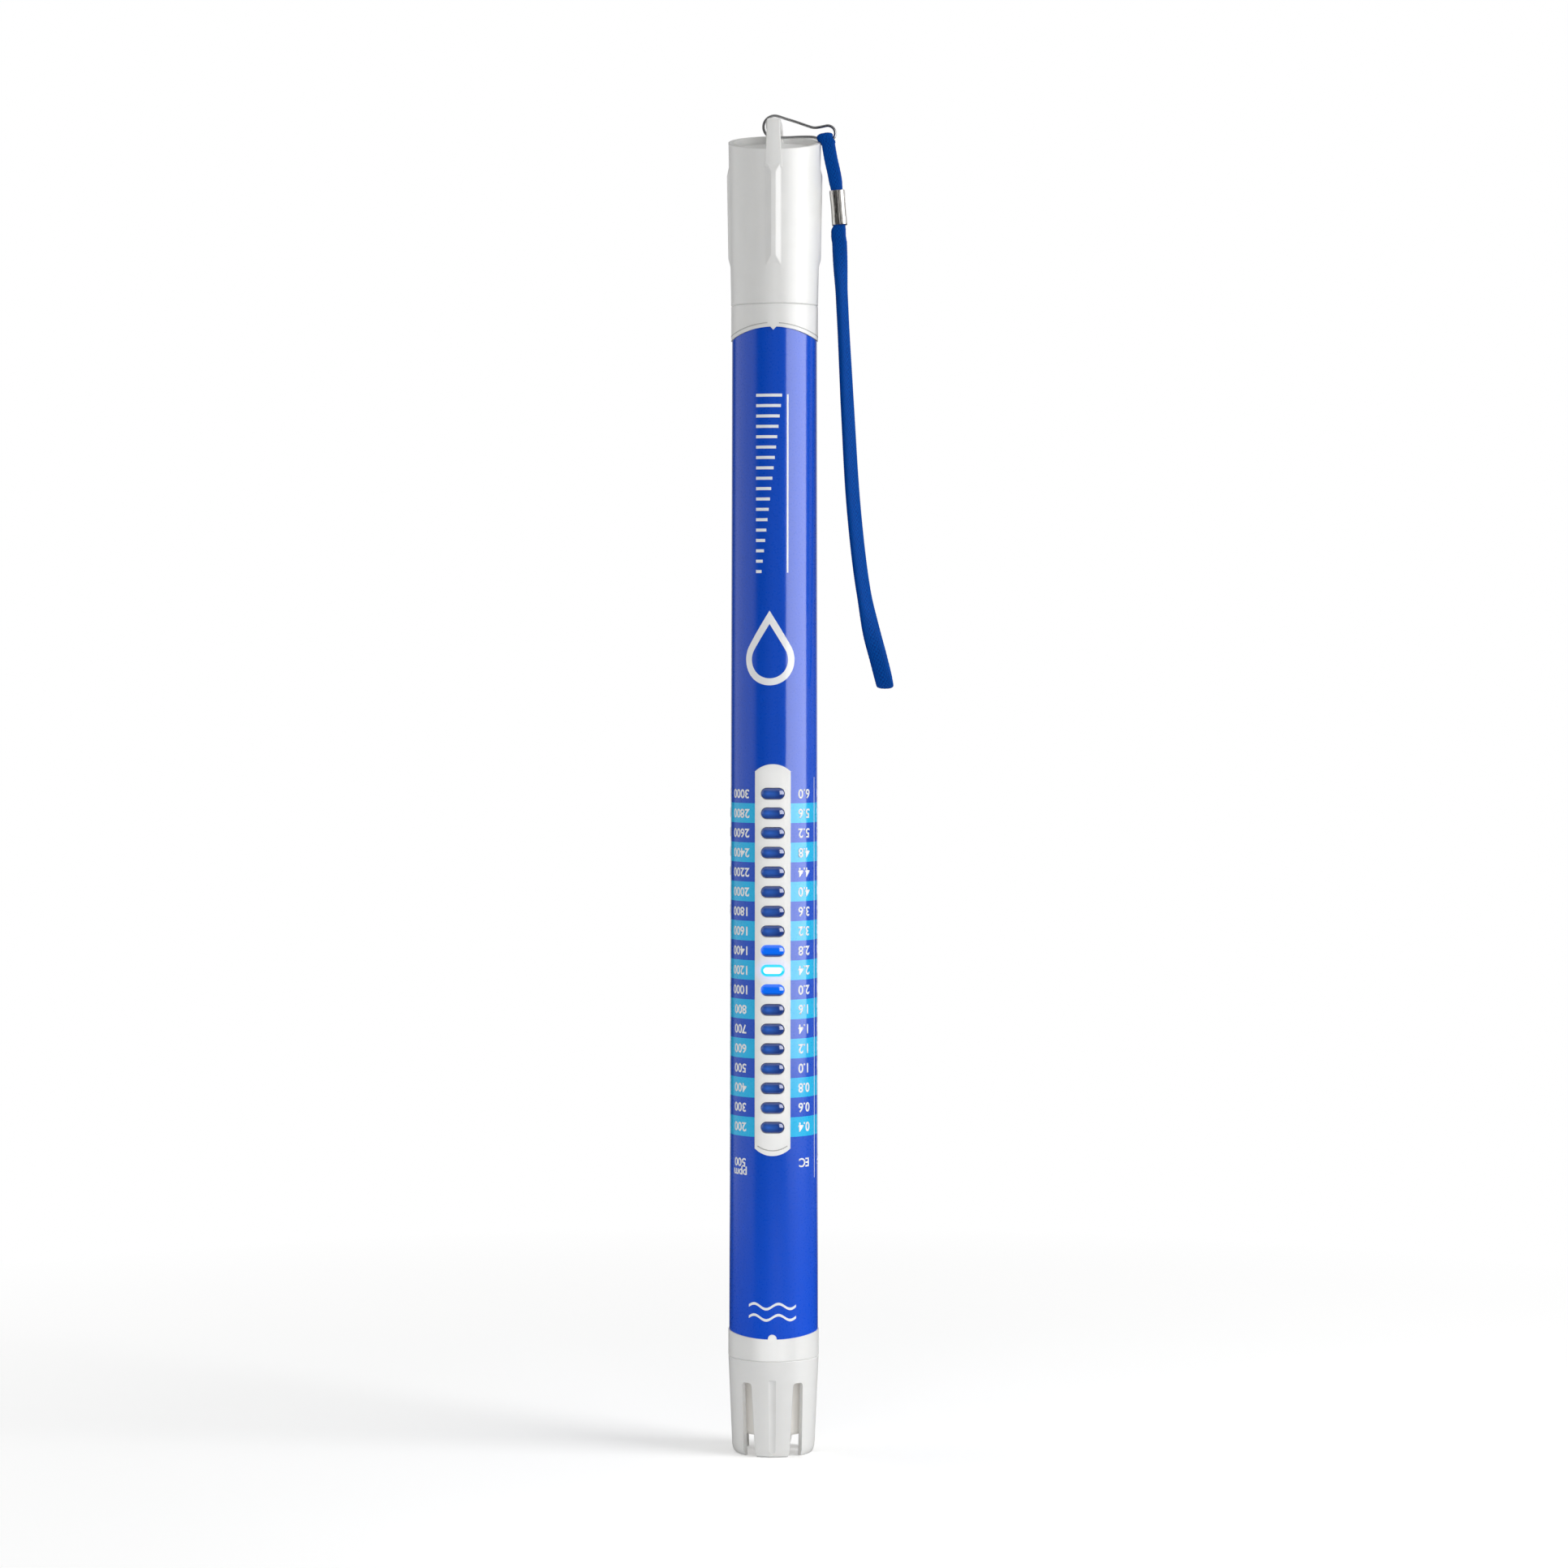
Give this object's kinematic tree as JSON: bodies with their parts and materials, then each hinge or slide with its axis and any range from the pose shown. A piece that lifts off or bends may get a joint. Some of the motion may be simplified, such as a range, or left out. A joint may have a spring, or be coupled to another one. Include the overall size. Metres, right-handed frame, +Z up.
{
  "type": "nutrient strength meter",
  "caption": "Hand-held nutrient strength meter: long tube on a slotted probe shroud, lamp scale up the front, battery cap with hanger arch, wire clip and wrist strap.",
  "frame": {"origin": "centre of the foot, on the surface that the shroud's prongs stand on", "axes": "+Z up the tube to the cap, -Y out of the lamps, +X to the side the strap hangs on"},
  "size_m": [0.0506, 0.029, 0.4069],
  "materials": {
    "white_shell": "satin moulded plastic",
    "label": "gloss printed film",
    "lens": "polished tinted lens",
    "dark_plastic": "matte",
    "led": "moulded lamp package",
    "circuit_board": "solder mask",
    "component": "matte",
    "grey_plastic": "satin moulded plastic",
    "seal_rubber": "matte",
    "battery": "wrapped can",
    "contact_metal": "nickel plate",
    "red_wire": "satin",
    "black_wire": "satin",
    "probe_plastic": "satin moulded plastic",
    "electrode": "brushed",
    "potting": "gloss resin",
    "signal_wire": "satin",
    "clip_wire": "drawn wire",
    "strap_braid": "braided cord",
    "crimp_metal": "nickel plate"
  },
  "bodies": {
    "wand": {"body_tube": "white_shell", "label_wrap": "label", "lens_strip": "lens", "led_baffle": "dark_plastic", "scale_leds": "led", "main_pcb": "circuit_board", "microcontroller": "dark_plastic", "crystal": "contact_metal", "board_components": "component", "battery_housing": "grey_plastic", "neck_o_ring": "seal_rubber", "battery_left": "battery", "battery_right": "battery", "negative_contact": "contact_metal", "positive_contact": "contact_metal", "battery_lead_red": "red_wire", "battery_lead_black": "black_wire", "probe_body": "probe_plastic", "electrode_left": "electrode", "electrode_right": "electrode", "thermistor": "dark_plastic", "probe_o_ring": "seal_rubber", "probe_potting": "potting", "probe_wires": "signal_wire"},
    "shroud": {"shroud": "white_shell"},
    "cap": {"battery_cap": "white_shell", "cap_link_plate": "contact_metal", "cap_spring": "contact_metal"},
    "clip": {"wire_clip": "clip_wire"},
    "strap": {"wrist_strap": "strap_braid", "strap_crimp": "crimp_metal"}
  },
  "joints": [
    {"name": "cap_pull", "type": "slide", "parent": "wand", "child": "cap", "axis": [0, 0, 1], "range_m": [0, 0.045]},
    {"name": "shroud_pull", "type": "slide", "parent": "shroud", "child": "wand", "axis": [0, 0, 1], "range_m": [0, 0.03]},
    {"name": "clip_swing", "type": "hinge", "parent": "cap", "child": "clip", "pos_m": [0, 0, 0.40295], "axis": [0, -1, 0], "range_deg": [0, 190]},
    {"name": "strap_swing", "type": "hinge", "parent": "clip", "child": "strap", "pos_m": [0.016, 0, 0.401], "axis": [0, -1, 0], "range_deg": [0, 150]}
  ]
}
